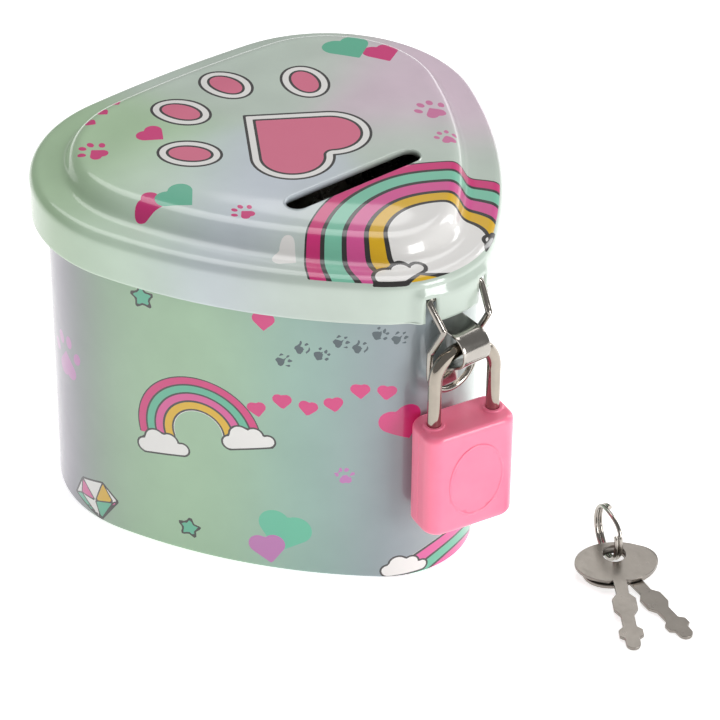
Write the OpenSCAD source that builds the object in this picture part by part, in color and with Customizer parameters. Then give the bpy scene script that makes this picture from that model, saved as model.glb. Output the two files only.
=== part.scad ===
// Tin money box: a soft-cornered three-sided tin with a hinged, domed lid,
// a coin slot, a wire hasp, and a small padlock with two flat keys on a split ring.
// Millimetres, +Z up. Origin: centre of the base, on the surface it stands on.
// -Y is the narrow front with the hasp, +Y is the broad back with the hinge.

/* [Tin body] */
// Distance of the two rear corner centres from the centre line
rear_x = 19.4; // [17:0.1:22]
// Radius of the two rear corners
rear_r = 30.6; // [28:0.1:33]
// Distance of the rear corner centres behind the origin
rear_y = 16.8; // [15:0.1:19]
// Radius of the front corner
tip_r = 20.6; // [18:0.1:23]
// Distance of the front corner centre ahead of the origin
tip_y = 27.5; // [25:0.1:29]
// Radius of the two bowed sides
side_r = 124; // [110:1:160]
// Radius of the bowed back
back_r = 280; // [220:5:400]
// Height of the body wall
wall_h = 77.4; // [76:0.1:77.6]
// Thickness of the tin sheet as drawn
tin_t = 0.5; // [0.4:0.05:0.6]
// How far the rolled rim stands out from the wall
rim_out = 1.6; // [1.2:0.1:1.8]

/* [Lid] */
// Gap from the body wall out to the outside of the lid skirt
skirt_out = 3.5; // [3.3:0.1:3.8]
// Height of the bottom edge of the skirt
skirt_z = 69.8; // [69:0.1:70.5]
// Height of the flat ledge around the raised panel
ledge_z = 80.2; // [80:0.1:81]
// Height of the raised panel at its edge
panel_z = 84.7; // [84:0.1:86]
// Extra height in the middle of the raised panel
crown = 0.7; // [0.3:0.1:1.2]
// Length of the coin slot
slot_len = 35; // [30:0.5:38]
// Width of the coin slot
slot_w = 5; // [4.6:0.1:6]
// Distance of the coin slot ahead of the origin
slot_y = 17.1; // [14:0.1:20]
// How far the wire bridge is pressed out of the skirt
bridge_out = 1.2; // [1.1:0.05:1.4]

/* [Hinge] */
// Width of the hinge leaves
hinge_w = 18; // [14:1:22]
// Radius of the hinge pin
pin_r = 0.8; // [0.7:0.05:0.9]
// Outer radius of the knuckles
knuckle_r = 1.5; // [1.4:0.05:1.6]

/* [Hasp] */
// Width of the staple strap
strap_w = 7.1; // [6:0.1:7.4]
// Thickness of the staple strap
strap_t = 0.6; // [0.5:0.05:0.7]
// Diameter of the bail wire
bail_d = 1.5; // [1.3:0.1:1.6]
// Half width of the bail at its pivot bar
bail_x = 6.9; // [6.5:0.1:7.2]

/* [Padlock] */
// Width of the case
case_w = 21.5; // [20:0.5:23]
// Height of the case
case_h = 26; // [25.5:0.5:27]
// Thickness of the case
case_t = 10.5; // [10.4:0.1:10.8]
// Diameter of the shackle rod
rod_d = 3; // [2.8:0.1:3.1]
// Half the spacing of the shackle legs
leg_x = 7.15; // [7:0.05:7.3]
// Turn of the hanging padlock about the vertical
lock_yaw = -10; // [-10:1:-6]

/* [Keys] */
// Thickness of the key blanks
key_t = 0.8; // [0.7:0.05:0.9]
// Outer diameter of the split ring
ring_d = 13; // [12.5:0.5:14]
// Diameter of the split ring wire
ring_wire = 0.95; // [0.8:0.05:1]

/* [Hidden] */

// Hinge axis, behind the skirt and just under its edge
hinge_y = 53.1;
hinge_z = 68.4;
// Pivot bar of the bail
bail_y = -50.8;
bail_z = 75;
bail_low_y = -50.8;
bail_kink = [-55, 68.9];
bail_bend = [-51.2, 61.5];
bail_u_z = 56;
bail_u_r = 6.1;
// Nose of the staple strap: centre and inner radius
nose_y = -55;
nose_z = 62.9;
nose_r = 3.45;
strap_top_z = 67.1;
strap_low_z = 54;
// Shackle: height of the rod at the crown and of the arch centre
crown_z = 62.9;
arch_z = crown_z - leg_x;
case_top = 44.6;
// Padlock insides, heights measured down from the top of the case
arch_up = arch_z - case_top;
short_leg = 4.7;
long_leg = 16.8;
leg_fit = 0.15;
case_wall = 1.3;
spring_floor = 20.8;
latch_top = -1.55;
latch_low = -2.8;
latch_in = 0.6;
cam_r = 2.4;
cam_pin_r = 0.5;
plug_r = 3.3;
plug_top = -4;
stop_z = -8.4;
neck_r = 1;
stop_r = 0.5;
rivet_r = 0.8;
// Keys on the table
key_hole = [30.5, -72];
key_hole_r = 2.6;
key_reach = 29.4;
key_tip_r = 1.6;
key_a_dir = 237;
key_b_dir = 262;
ring_dir = 250;

// ---- Curves shared by the tin parts ----

function arc(c, r, a0, a1, n) =
    [for (i = [0:n - 1]) let (a = a0 + (a1 - a0) * i / n) c + r * [cos(a), sin(a)]];

// Crossing of two circles, on the left of the line from c1 to c2
function crossing(c1, r1, c2, r2) =
    let (d = norm(c2 - c1), u = (c2 - c1) / d, h = (r1 * r1 - r2 * r2 + d * d) / (2 * d))
    c1 + h * u + sqrt(r1 * r1 - h * h) * [-u[1], u[0]];

function heading(p, q) = atan2(q[1] - p[1], q[0] - p[0]);

tip_c = [0, -tip_y];
rear_c = [rear_x, rear_y];
side_c = crossing(tip_c, side_r - tip_r, rear_c, side_r - rear_r);
back_c = [0, rear_y - sqrt(pow(back_r - rear_r, 2) - rear_x * rear_x)];
tip_a = heading(side_c, tip_c);
rear_a = heading(side_c, rear_c);
back_a = heading(back_c, rear_c);

// Right half of the outline from the front to the back, a distance off outside the wall
function half_outline(off) = concat(
    arc(tip_c, tip_r + off, -90, tip_a, 18),
    arc(side_c, side_r + off, tip_a, rear_a, 9),
    arc(rear_c, rear_r + off, rear_a, back_a, 20),
    arc(back_c, back_r + off, back_a, 90, 4),
    [back_c + [0, back_r + off]]);

function outline(off) =
    let (h = half_outline(off), n = len(h))
    concat(h, [for (i = [n - 2:-1:1]) [-h[i][0], h[i][1]]]);

// Rounded rectangle about the origin
function round_rect(w, h, r) = concat(
    arc([w / 2 - r, h / 2 - r], r, 0, 90, 6), [[w / 2 - r, h / 2]],
    arc([r - w / 2, h / 2 - r], r, 90, 180, 6), [[-w / 2, h / 2 - r]],
    arc([r - w / 2, r - h / 2], r, 180, 270, 6), [[r - w / 2, -h / 2]],
    arc([w / 2 - r, r - h / 2], r, 270, 360, 6), [[w / 2, r - h / 2]]);

// Closed skin over rings of equally many points, first ring and last ring capped
module loft(rings) {
    n = len(rings[0]);
    m = len(rings);
    points = [for (ring = rings) each ring];
    sides = [for (j = [0:m - 2], i = [0:n - 1]) let (k = (i + 1) % n)
        each [[j * n + i, (j + 1) * n + k, j * n + k],
              [j * n + i, (j + 1) * n + i, (j + 1) * n + k]]];
    first = [for (i = [0:n - 1]) i];
    last = [for (i = [n - 1:-1:0]) (m - 1) * n + i];
    polyhedron(points, concat(sides, [first], [last]), convexity = 6);
}

// Round wire along a path; ref is a direction the path never runs along
module wire(path, r, ref, closed = false, sides = 10) {
    n = len(path);
    rings = [for (i = [0:n - 1])
        let (p = path[closed ? (i + n - 1) % n : max(i - 1, 0)],
             q = path[closed ? (i + 1) % n : min(i + 1, n - 1)],
             t = (q - p) / norm(q - p),
             u = cross(t, ref) / norm(cross(t, ref)),
             v = cross(u, t))
        [for (k = [0:sides - 1]) path[i] + r * (cos(360 * k / sides) * u + sin(360 * k / sides) * v)]];
    if (closed) {
        points = [for (ring = rings) each ring];
        faces = [for (j = [0:n - 1], i = [0:sides - 1])
            let (k = (i + 1) % sides, jn = (j + 1) % n)
            each [[j * sides + i, jn * sides + k, j * sides + k],
                  [j * sides + i, jn * sides + i, jn * sides + k]]];
        polyhedron(points, faces, convexity = 10);
    } else {
        loft(rings);
    }
}

// Coil spring standing on z = 0, with closed-looking flat ends
module coil(r, wire_r, height, turns) {
    steps = round(turns * 16);
    wire([for (i = [0:steps])
        [r * cos(360 * turns * i / steps), r * sin(360 * turns * i / steps),
         wire_r + (height - 2 * wire_r) * i / steps]], wire_r, [0, 0, 1], sides = 8);
}

// ---- Tin body ----

module tin_band(outer, inner, z0, z1) {
    translate([0, 0, z0]) linear_extrude(z1 - z0) difference() {
        polygon(outline(outer));
        polygon(outline(inner));
    }
}

module body_wall() {
    color("paleturquoise") union() {
        tin_band(0, -tin_t, 0, wall_h);
        tin_band(rim_out - 0.5, -tin_t, wall_h - rim_out, wall_h);
        tin_band(rim_out, -tin_t, wall_h - rim_out + 0.4, wall_h - 0.4);
    }
}

// Folded lock seam inside the back wall
module body_seam() {
    seam_w = 4;
    seam_t = 0.9;
    color("silver")
        translate([-seam_w / 2, back_c[1] + back_r - tin_t - seam_t - 0.02, 1.5])
            cube([seam_w, seam_t, wall_h - 6]);
}

module base_panel() {
    color("gainsboro") difference() {
        linear_extrude(1.4) polygon(outline(-tin_t));
        translate([0, 0, tin_t]) linear_extrude(2) polygon(outline(-tin_t - 1.2));
    }
}

// ---- Staple strap: a strip bent into an eye that the shackle passes through ----

// Tangent point on a circle about c, seen from p; side is 1 or -1
function tangent_angle(p, c, r, side) = heading(c, p) + side * acos(r / norm(p - c));

module strap_profile(r) {
    wall_y = -tip_y - tip_r - 0.02;
    up = [wall_y, strap_top_z - (nose_r + strap_t - r)];
    low = [wall_y, strap_low_z + (nose_r + strap_t - r)];
    c = [nose_y, nose_z];
    a_up = tangent_angle(up, c, r, 1);
    a_low = tangent_angle(low, c, r, -1) + 360;
    polygon(concat([up], arc(c, r, a_up, a_low, 16), [c + r * [cos(a_low), sin(a_low)]], [low]));
}

module staple_strap() {
    tab_h = 5;
    wall_y = -tip_y - tip_r - 0.02;
    color("silver") translate([-strap_w / 2, 0, 0]) union() {
        rotate([90, 0, 90]) linear_extrude(strap_w) difference() {
            strap_profile(nose_r + strap_t);
            strap_profile(nose_r);
        }
        translate([0, wall_y - strap_t, strap_low_z - tab_h]) cube([strap_w, strap_t, tab_h + 0.6]);
    }
}

// ---- Hinge ----

module hinge_hole(x0, x1, r) {
    translate([x0, hinge_y, hinge_z]) rotate([0, 90, 0]) cylinder(r = r, h = x1 - x0, $fn = 48);
}

knuckle_x = 3;
knuckle_gap = 0.15;
leaf_t = 0.6;
leaf_body_y = back_c[1] + back_r + 0.02;
leaf_lid_y = leaf_body_y + skirt_out;

module hinge_body_leaf() {
    color("silver") difference() {
        union() {
            translate([-hinge_w / 2, leaf_body_y, 56]) cube([hinge_w, leaf_t, 10.5]);
            translate([-knuckle_x + knuckle_gap, 0, 0]) rotate([90, 0, 90])
                linear_extrude(2 * (knuckle_x - knuckle_gap))
                    polygon([[leaf_body_y, 64.5], [leaf_body_y + leaf_t, 64.5],
                             [hinge_y, hinge_z - knuckle_r], [hinge_y, hinge_z],
                             [hinge_y - 1.2, hinge_z - 0.4], [leaf_body_y, 66.5]]);
            hinge_hole(-knuckle_x + knuckle_gap, knuckle_x - knuckle_gap, knuckle_r);
        }
        hinge_hole(-hinge_w, hinge_w, pin_r + 0.05);
        hinge_rivet_places(61, leaf_body_y) cylinder(r = rivet_r, h = 3, center = true, $fn = 32);
    }
}

module hinge_rivet_places(z, y) {
    for (x = [-6, 6]) translate([x, y + leaf_t, z]) rotate([-90, 0, 0]) children();
}

// Rivet through the leaf and the sheet, with a low head outside
module rivet() {
    union() {
        translate([0, 0, -leaf_t - 0.02]) cylinder(r = rivet_r, h = leaf_t + 0.02, $fn = 32);
        cylinder(r = 1.4, h = 0.5, $fn = 32);
    }
}

module hinge_body_rivets() {
    color("silver") hinge_rivet_places(61, leaf_body_y) rivet();
}

module hinge_pin() {
    color("dimgray") union() {
        hinge_hole(-hinge_w / 2 - 0.6, hinge_w / 2 + 0.2, pin_r);
        hinge_hole(-hinge_w / 2 - 0.9, -hinge_w / 2 - 0.1, pin_r + 0.5);
    }
}

module hinge_lid_leaf() {
    end_x = hinge_w / 2;
    color("silver") difference() {
        union() {
            translate([-end_x, leaf_lid_y, hinge_z + 2]) cube([hinge_w, leaf_t, 7]);
            for (x = [-end_x, knuckle_x]) {
                translate([x, leaf_lid_y, hinge_z]) cube([end_x - knuckle_x, leaf_t, 2.5]);
                hinge_hole(x, x + end_x - knuckle_x, knuckle_r);
            }
        }
        hinge_hole(-hinge_w, hinge_w, pin_r + 0.05);
        hinge_rivet_places(74, leaf_lid_y) cylinder(r = rivet_r, h = 3, center = true, $fn = 32);
    }
}

module hinge_lid_rivets() {
    color("silver") hinge_rivet_places(74, leaf_lid_y) rivet();
}

// ---- Lid ----

function smooth(t) = let (c = min(1, max(0, t))) c * c * (3 - 2 * c);

// Bulge of the pressed bridge at a place on the skirt
function bulge(p, z) = p[1] > -tip_y ? 0 :
    bridge_out * smooth((11 - abs(p[0])) / 3) * smooth((78 - z) / 1.8);

// A ring of the lid, a distance off outside the body wall, at height z
function lid_ring(off, z) =
    let (flat = outline(off))
    [for (p = flat) let (d = bulge(p, z), out = p - tip_c)
        concat(p + d * out / norm(out), [z])];

// Height and offset pairs down the outside of the lid, from the middle of the panel
shoulder_r = 2.4;
lid_profile = concat(
    [[-17, panel_z + crown], [-11, panel_z + 0.45 * crown], [-8, panel_z + 0.1],
     [-6.6, panel_z - 0.5], [-5.6, panel_z - 1.6], [-4.9, ledge_z + 1],
     [-4.1, ledge_z + 0.35], [-3, ledge_z + 0.1]],
    [for (a = [90:-22.5:0]) [skirt_out - shoulder_r * (1 - cos(a)), ledge_z - shoulder_r * (1 - sin(a))]],
    [[skirt_out, 77], [skirt_out, 76.2], [skirt_out, skirt_z]]);

module lid_shell() {
    n = len(lid_profile);
    outer = [for (p = lid_profile) lid_ring(p[0], p[1])];
    inner = [for (i = [n - 1:-1:0]) let (p = lid_profile[i], s = smooth((p[0] + 4) / 5))
        lid_ring(p[0] - tin_t * max(s, 0.35), i == n - 1 ? skirt_z : p[1] - tin_t * (1 - s * s))];
    slit_w = 2.4;
    color("lightblue") difference() {
        loft(concat(outer, inner));
        coin_slot_cut();
        for (s = [-1, 1])
            translate([s * bail_x - slit_w / 2, -60, skirt_z - 1]) cube([slit_w, 12, 7.6]);
    }
}

module coin_slot_cut() {
    translate([0, -slot_y, panel_z - 4]) linear_extrude(8) union() {
        square([slot_len - slot_w, slot_w], center = true);
        for (s = [-1, 1]) translate([s * (slot_len - slot_w) / 2, 0]) circle(d = slot_w, $fn = 32);
    }
}

// ---- Bail: a closed wire loop held in the bridge and dropped over the strap ----

module bail_wire() {
    u = [for (a = [0:20:180]) [bail_u_r * cos(a), bail_low_y, bail_u_z - bail_u_r * sin(a)]];
    right = [[bail_x - 0.9, bail_y, bail_z], [bail_x - 0.3, bail_y - 0.15, bail_z - 0.3],
             [bail_x, bail_y - 0.7, bail_z - 1],
             [bail_x - 0.7, bail_kink[0] + 0.3, bail_kink[1] + 0.7],
             [bail_x - 0.8, bail_kink[0] + 0.1, bail_kink[1] - 0.4],
             [bail_x - 0.8, bail_bend[0] - 0.4, bail_bend[1] + 0.9],
             [bail_x - 0.8, bail_low_y - 0.1, bail_bend[1] - 0.3]];
    left = [for (i = [len(right) - 1:-1:0]) [-right[i][0], right[i][1], right[i][2]]];
    color("silver") wire(concat(right, u, left), bail_d / 2, [0, 1, 0], closed = true, sides = 12);
}

// ---- Padlock, drawn about the middle of the top of its case ----

module lock_place() {
    translate([0, nose_y, case_top]) rotate([0, 0, lock_yaw]) children();
}

module shackle() {
    rod_r = rod_d / 2;
    color("silver") lock_place() difference() {
        union() {
            translate([0, 0, arch_up]) rotate([90, 0, 0])
                rotate_extrude(angle = 180, $fn = 96) translate([leg_x, 0]) circle(r = rod_r, $fn = 32);
            translate([-leg_x, 0, -short_leg]) cylinder(r = rod_r, h = short_leg + arch_up, $fn = 32);
            translate([leg_x, 0, -long_leg]) cylinder(r = rod_r, h = long_leg + arch_up, $fn = 32);
        }
        // notch for the latch
        translate([-leg_x + rod_r - 0.85, -rod_d, -4.25]) cube([rod_d, 2 * rod_d, 2.8]);
        // turned neck that the stop pin runs in
        translate([leg_x, 0, stop_z - 5.7]) difference() {
            cylinder(r = rod_d, h = 6.4, $fn = 32);
            translate([0, 0, -1]) cylinder(r = neck_r, h = 9, $fn = 32);
        }
    }
}

// One slab of a case half, from depth y0 to y1 out from the parting plane
module case_slab(side, y0, y1, inset) {
    rotate([90, 0, 0]) translate([0, -case_h / 2, side < 0 ? y0 : -y1])
        linear_extrude(y1 - y0)
            polygon(round_rect(case_w - 2 * inset, case_h - 2 * inset, 2.4 - inset));
}

module collar_half(x, side) {
    collar_r = rod_d / 2 + 0.75;
    intersection() {
        translate([x, 0, -1]) cylinder(r = collar_r, h = 1.5, $fn = 32);
        translate([x - 3, side < 0 ? -3 : 0, -1]) cube([6, 3, 2]);
    }
}

module case_half(side) {
    step_y = case_t / 2 - 1;
    difference() {
        union() {
            intersection() {
                union() {
                    case_slab(side, 0, step_y, 0);
                    case_slab(side, step_y - 0.1, case_t / 2, 0.7);
                }
                translate([0, 0, -case_h - 1]) linear_extrude(case_h + 2)
                    polygon(round_rect(case_w, case_t, 3.4));
            }
            for (x = [-leg_x, leg_x]) collar_half(x, side);
        }
        translate([-leg_x, 0, -short_leg - 0.4])
            cylinder(r = rod_d / 2 + leg_fit, h = 10, $fn = 32);
        translate([leg_x, 0, -spring_floor])
            cylinder(r = rod_d / 2 + leg_fit, h = 30, $fn = 32);
        // chamber of the latch and its spring
        translate([-leg_x + 0.3, -1.4, latch_low - 0.15]) cube([leg_x + 4.9, 5.2, 1.55]);
        // bore of the key plug, with room for its pin above
        translate([0, 0, -case_h - 1]) cylinder(r = plug_r + 0.15, h = case_h + 1 + plug_top + 0.15, $fn = 48);
        translate([0, 0, plug_top - 0.5]) cylinder(r = cam_r + cam_pin_r + 0.2, h = 2, $fn = 48);
        // seat of the keyhole plate
        translate([-5.6, -3.6, -case_h - 1]) cube([11.2, 7.2, 1.8]);
        case_rivet_places() cylinder(r = rivet_r, h = 8, center = true, $fn = 32);
        translate([leg_x - neck_r - stop_r - 0.05, 0, stop_z]) rotate([90, 0, 0])
            cylinder(r = stop_r, h = 7, center = true, $fn = 32);
    }
}

module case_rivet_places() {
    for (p = [[-7.4, -9], [-7.4, -22.6], [7.4, -23]])
        translate([p[0], 0, p[1]]) rotate([90, 0, 0]) children();
}

// Raised oval line on the face of the front half
module face_oval() {
    oval_w = 13.2;
    oval_h = 18.4;
    line_w = 0.6;
    function oval(w, h) = [for (a = [0:10:350]) [w / 2 * cos(a), h / 2 * sin(a)]];
    translate([0.6, -case_t / 2 + 0.1, -case_h / 2 - 0.4]) rotate([90, 0, 0])
        linear_extrude(0.3) difference() {
            polygon(oval(oval_w, oval_h));
            polygon(oval(oval_w - 2 * line_w, oval_h - 2 * line_w));
        }
}

module lock_case_front() {
    color("hotpink") lock_place() union() {
        case_half(-1);
        face_oval();
    }
}

module lock_case_back() {
    color("hotpink") lock_place() case_half(1);
}

module case_rivets() {
    color("silver") lock_place() case_rivet_places()
        cylinder(r = rivet_r - 0.02, h = 7.8, center = true, $fn = 32);
}

module keyhole_plate() {
    color("silver") lock_place() translate([0, 0, -case_h]) difference() {
        translate([-5.5, -3.5, 0]) cube([11, 7, 0.7]);
        translate([0, 0, -1]) cylinder(r = 2.9, h = 3, $fn = 48);
    }
}

module key_plug() {
    color("goldenrod") lock_place() difference() {
        union() {
            translate([0, 0, -case_h + 0.75]) cylinder(r = plug_r, h = case_h - 0.75 + plug_top, $fn = 48);
            translate([0, cam_r, plug_top - 1]) cylinder(r = cam_pin_r, h = 3.4, $fn = 24);
        }
        translate([-2.8, -0.5, -case_h - 1]) cube([5.6, 1, case_h + 1 + plug_top - 1.5]);
    }
}

module latch_bolt() {
    tip_x = -leg_x + rod_d / 2 - latch_in;
    color("darkgray") lock_place() translate([0, 0, latch_low]) linear_extrude(latch_top - latch_low) difference() {
        union() {
            translate([tip_x, -1.2]) square([2 - tip_x, 2.4]);
            translate([-1.5, -1.2]) square([3.5, 4.85]);
        }
        translate([-0.65, -0.65]) square([1.85, 3.7]);
    }
}

module latch_spring() {
    color("silver") lock_place() translate([2.05, 0, (latch_low + latch_top) / 2]) rotate([0, 90, 0])
        coil(0.42, 0.14, 3, 5);
}

module shackle_spring() {
    color("silver") lock_place() translate([leg_x, 0, -spring_floor + 0.02])
        coil(1.15, 0.25, spring_floor - long_leg - 0.05, 4);
}

module shackle_stop_pin() {
    color("dimgray") lock_place() translate([leg_x - neck_r - stop_r - 0.05, 0, stop_z]) rotate([90, 0, 0])
        cylinder(r = stop_r - 0.02, h = 6.8, center = true, $fn = 24);
}

// ---- Keys on their ring, lying on the table ----

ring_r = (ring_d - ring_wire) / 2;

module split_ring() {
    turns = 1.8;
    steps = 72;
    coil_gap = 0.05;
    first_a = 100;
    // the wire steps over to its second coil here, clear of both of its ends
    step_a = 390;
    color("silver") translate([key_hole[0], key_hole[1], 0]) rotate([0, 0, ring_dir])
        translate([-ring_r + 2.3, 0, ring_d / 2 + 0.02]) rotate([90, 0, 0])
            wire([for (i = [0:steps]) let (a = first_a + 360 * turns * i / steps,
                                          s = smooth((a - step_a) / 70))
                [ring_r * cos(a), ring_r * sin(a), (ring_wire + coil_gap) * (s - 0.5)]],
                ring_wire / 2, [0, 0, 1], sides = 8);
}

// Key blank: oval bow with a hole, a shank, a long lobe, a short lobe and a round tip
module key_outline() {
    bow_w = 18.3;
    bow_h = 12.6;
    tip_at = key_reach - key_tip_r;
    lobe = [[1.5, 8.4], [1.4, 12.6], [2.65, 14.2], [2.65, 17.5], [1.5, 19.2], [1.5, 22.8],
            [2.65, 23.8], [2.65, 25.6], [1.6, 26.3], [1.6, tip_at]];
    join_a = 18;
    bow = [for (a = [join_a:9:360 - join_a]) [bow_w / 2 * sin(a), -2.6 - bow_h / 2 * cos(a)]];
    difference() {
        polygon(concat([for (p = lobe) [-p[0], -p[1]]],
                       arc([0, -tip_at], key_tip_r, 180, 360, 8),
                       [for (i = [len(lobe) - 1:-1:0]) [lobe[i][0], -lobe[i][1]]],
                       bow));
        circle(r = key_hole_r, $fn = 48);
    }
}

// A key lying with its tip down and its bow raised to height lift on the ring wire
module key_at(dir, lift) {
    translate([key_hole[0], key_hole[1], 0]) rotate([0, 0, dir + 90])
        translate([0, -key_reach, 0]) rotate([asin(lift / key_reach), 0, 0]) translate([0, key_reach, 0.02])
            linear_extrude(key_t) key_outline();
}

module key_b() {
    color("silver") key_at(key_b_dir, 1.15);
}

module key_a() {
    color("silver") key_at(key_a_dir, 2.6);
}

body_wall();
body_seam();
base_panel();
staple_strap();
hinge_body_leaf();
hinge_body_rivets();
hinge_pin();
lid_shell();
hinge_lid_leaf();
hinge_lid_rivets();
bail_wire();
shackle();
lock_case_front();
lock_case_back();
case_rivets();
keyhole_plate();
key_plug();
latch_bolt();
latch_spring();
shackle_spring();
shackle_stop_pin();
split_ring();
key_a();
key_b();
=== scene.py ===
# %% [markdown]
# # A printed tin money box
# A small three-cornered tin with a domed lid that has a coin slot, a wire hasp with a little
# padlock, and two flat keys on a split ring. The design, its sizes and its joints come as a
# fixed frame. This script gives each visible piece its final shape and finish.

# %% The frame and its box
import math

import bmesh
import bpy
import numpy as np
from mathutils import Matrix, Quaternion, Vector


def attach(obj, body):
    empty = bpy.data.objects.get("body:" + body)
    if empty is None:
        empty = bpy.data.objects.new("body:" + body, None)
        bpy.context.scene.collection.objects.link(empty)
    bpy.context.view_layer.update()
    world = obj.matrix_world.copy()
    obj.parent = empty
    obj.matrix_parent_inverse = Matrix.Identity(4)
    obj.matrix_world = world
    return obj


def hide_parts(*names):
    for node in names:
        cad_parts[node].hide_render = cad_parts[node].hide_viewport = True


MM = 0.001
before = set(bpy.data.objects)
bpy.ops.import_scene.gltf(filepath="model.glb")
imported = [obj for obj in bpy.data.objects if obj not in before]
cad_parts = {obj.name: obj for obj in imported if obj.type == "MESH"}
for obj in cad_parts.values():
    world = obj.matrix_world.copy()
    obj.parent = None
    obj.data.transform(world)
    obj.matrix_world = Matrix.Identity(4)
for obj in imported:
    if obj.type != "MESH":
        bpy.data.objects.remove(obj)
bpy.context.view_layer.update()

# %% [markdown]
# ## Camera
# The box is seen from its front left corner and from above, with a long lens, so that its
# sides stay almost parallel.

# %% Camera
scene = bpy.context.scene
camera = bpy.data.objects.new("camera", bpy.data.cameras.new("camera"))
scene.collection.objects.link(camera)
look_at = Vector((12.2, -4.7, 25.9)) * MM
azimuth, elevation = math.radians(-38.83), math.radians(35.28)
camera_distance, camera_roll = 773, math.radians(0.57)
back = Vector((math.sin(azimuth) * math.cos(elevation),
               -math.cos(azimuth) * math.cos(elevation), math.sin(elevation)))
camera.location = look_at + back * camera_distance * MM
camera.rotation_mode = "QUATERNION"
camera.rotation_quaternion = (-back).to_track_quat("-Z", "Y") @ Quaternion((0, 0, 1), camera_roll)
camera.data.lens = 170.5
scene.camera = camera
print("camera at", [round(v / MM) for v in camera.location], "mm")

# %% [markdown]
# ## The outline that every tin part shares
# Seen from above, the wall is a chain of round arcs: the front corner, a bowed side, a rear
# corner and the bowed back, and the same mirrored. A place on the tin is then said by how far
# it is round the wall from the front, and how far it stands out from the wall.

# %% Outline arcs of the right half, in millimetres
tip_c, tip_r = np.array([0.0, -27.5]), 20.6
rear_c, rear_r = np.array([19.4, 16.8]), 30.6
side_r, back_r = 124.0, 280.0


def crossing(c1, r1, c2, r2):
    """Where two circles cross, on the left of the line from the first to the second."""
    apart = np.linalg.norm(c2 - c1)
    along = (c2 - c1) / apart
    h = (r1 * r1 - r2 * r2 + apart * apart) / (2 * apart)
    return c1 + h * along + math.sqrt(r1 * r1 - h * h) * np.array([-along[1], along[0]])


def heading(p, q):
    return math.atan2(q[1] - p[1], q[0] - p[0])


side_c = crossing(tip_c, side_r - tip_r, rear_c, side_r - rear_r)
back_c = np.array([0.0, rear_c[1] - math.sqrt((back_r - rear_r) ** 2 - rear_c[0] ** 2)])
bends = [-math.pi / 2, heading(side_c, tip_c), heading(side_c, rear_c), heading(back_c, rear_c), math.pi / 2]
arcs = list(zip([tip_c, side_c, rear_c, back_c], [tip_r, side_r, rear_r, back_r], bends[:-1], bends[1:]))
lengths = [r * (b - a) for _, r, a, b in arcs]
starts = np.cumsum([0] + lengths)
half_round = starts[-1]
print("once round the wall:", round(2 * half_round, 1), "mm")

# %% From a place round the wall to x and y, and the other way


def walk(along, off):
    """x and y at a distance along the wall from the front (right is positive), off outside it."""
    side = np.where(along < 0, -1.0, 1.0)
    reach = np.minimum(np.abs(along), half_round)
    x, y = np.zeros_like(reach), np.zeros_like(reach)
    for (centre, r, a, _), start, length in zip(arcs, starts, lengths):
        here = (reach >= start) & (reach <= start + length + 1e-9)
        angle = a + (reach - start) / r
        x = np.where(here, centre[0] + (r + off) * np.cos(angle), x)
        y = np.where(here, centre[1] + (r + off) * np.sin(angle), y)
    return x * side, y


def locate(x, y):
    """The distance along the wall and the distance outside it, for x and y."""
    side = np.where(x < 0, -1.0, 1.0)
    ax = np.abs(x)
    turn = [np.arctan2(y - c[1], ax - c[0]) for c, _, _, _ in arcs]
    which = np.where(turn[0] < bends[1], 0, np.where(turn[1] < bends[2], 1, np.where(turn[2] < bends[3], 2, 3)))
    along, off = np.zeros_like(ax), np.zeros_like(ax)
    for i, (centre, r, a, _) in enumerate(arcs):
        along = np.where(which == i, starts[i] + r * (turn[i] - a), along)
        off = np.where(which == i, np.hypot(ax - centre[0], y - centre[1]) - r, off)
    return along * side, off


# %% [markdown]
# ## Helpers that make a mesh
# A formed sheet, a wire and a rod are all one thing to the mesh maker: a flat grid that is
# rolled up. Each row of the grid becomes one ring of the piece.

# %% A grid rolled into rings


def rolled(rings, closed=True):
    """A grid whose rows are put on these rings, an array of rows, columns and x, y, z in mm."""
    rows, columns = rings.shape[:2]
    across = columns if closed else columns - 1
    bm = bmesh.new()
    bmesh.ops.create_grid(bm, x_segments=across, y_segments=rows - 1, size=0.5)
    flat = np.array([v.co for v in bm.verts]) + 0.5
    column = np.rint(flat[:, 0] * across).astype(int) % columns
    row = np.rint(flat[:, 1] * (rows - 1)).astype(int)
    for v, place in zip(bm.verts, rings[row, column] * MM):
        v.co = place
    if closed:
        edge = [v for v in bm.verts if v.is_boundary]
        bmesh.ops.remove_doubles(bm, verts=edge, dist=1e-7)
    return bm


def close_ends(bm):
    """Fills the open ends of a rod."""
    bmesh.ops.holes_fill(bm, edges=[e for e in bm.edges if e.is_boundary], sides=0)


def piece(name, bm, body, material, stands_for=(), sharp=40):
    """Makes the finished object: smooth faces, one material, riding on its body."""
    mesh = bpy.data.meshes.new(name)
    bm.to_mesh(mesh)
    bm.free()
    mesh.shade_smooth()
    mesh.set_sharp_from_angle(angle=math.radians(sharp))
    obj = bpy.data.objects.new(name, mesh)
    scene.collection.objects.link(obj)
    mesh.materials.append(material)
    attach(obj, body)
    if stands_for:
        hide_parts(*stands_for)
    print(name, len(mesh.polygons), "faces")
    return obj


def finish_with(obj, kind, **settings):
    """Adds a modifier with its settings."""
    modifier = obj.modifiers.new(kind.title(), kind)
    for key, value in settings.items():
        setattr(modifier, key, value)
    return modifier


# %% A tube along a line


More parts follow.
